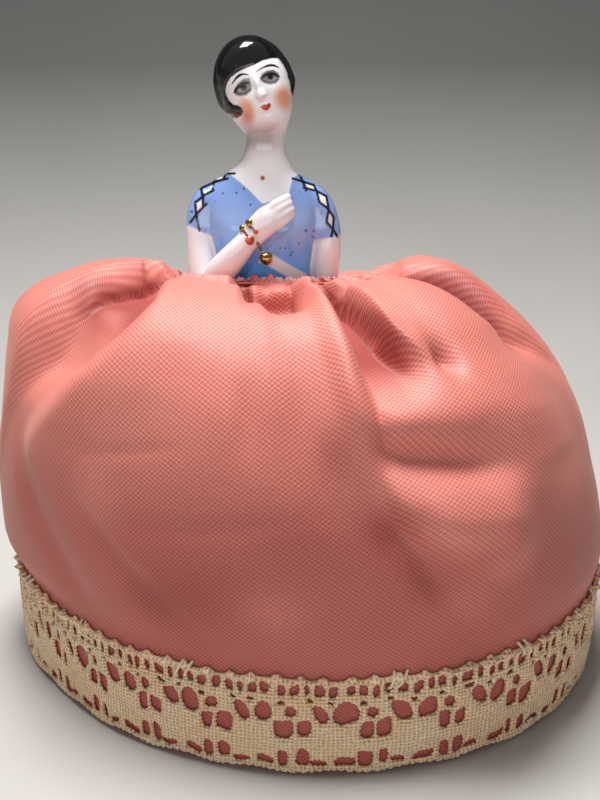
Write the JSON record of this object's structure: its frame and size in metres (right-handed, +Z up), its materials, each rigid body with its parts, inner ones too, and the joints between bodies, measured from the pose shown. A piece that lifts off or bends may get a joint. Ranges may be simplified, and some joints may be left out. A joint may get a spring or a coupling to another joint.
{
  "type": "half doll pincushion",
  "caption": "Glazed porcelain half doll sewn into a stuffed, gathered silk skirt cushion that holds pins, with a band of bobbin lace round its hem and a flat cloth-covered base.",
  "frame": {"origin": "on the table, under the middle of the base", "axes": "+Z up, the doll faces -Y, +X is to the right as seen from the front"},
  "size_m": [0.1857, 0.1717, 0.188],
  "materials": {
    "porcelain": "glossy clear glaze over painted black, blue, red and gilt details",
    "ribbed_silk": "salmon pink ribbed silk with a soft sheen",
    "cream_lace": "aged cream cotton bobbin lace",
    "cream_thread": "twisted cotton sewing thread",
    "pink_thread": "twisted silk sewing thread",
    "pink_cotton": "pale pink plain cotton",
    "cotton_filling": "loose cotton wadding",
    "card": "grey-brown stiff card"
  },
  "bodies": {
    "root": {"half_doll": "porcelain", "torso_wadding": "cotton_filling", "anchor_stitch_1": "cream_thread", "anchor_stitch_2": "cream_thread", "anchor_stitch_3": "cream_thread", "anchor_stitch_4": "cream_thread", "anchor_stitch_5": "cream_thread", "anchor_stitch_6": "cream_thread", "lining_bag": "pink_cotton", "cushion_filling": "cotton_filling", "skirt": "ribbed_silk", "gathering_thread": "pink_thread", "hem_thread": "pink_thread", "lace_trim": "cream_lace", "lace_tack_01": "cream_thread", "lace_tack_02": "cream_thread", "lace_tack_03": "cream_thread", "lace_tack_04": "cream_thread", "lace_tack_05": "cream_thread", "lace_tack_06": "cream_thread", "lace_tack_07": "cream_thread", "lace_tack_08": "cream_thread", "lace_tack_09": "cream_thread", "lace_tack_10": "cream_thread", "lace_tack_11": "cream_thread", "lace_tack_12": "cream_thread", "base_board": "card", "base_cloth": "pink_cotton"}
  },
  "joints": []
}
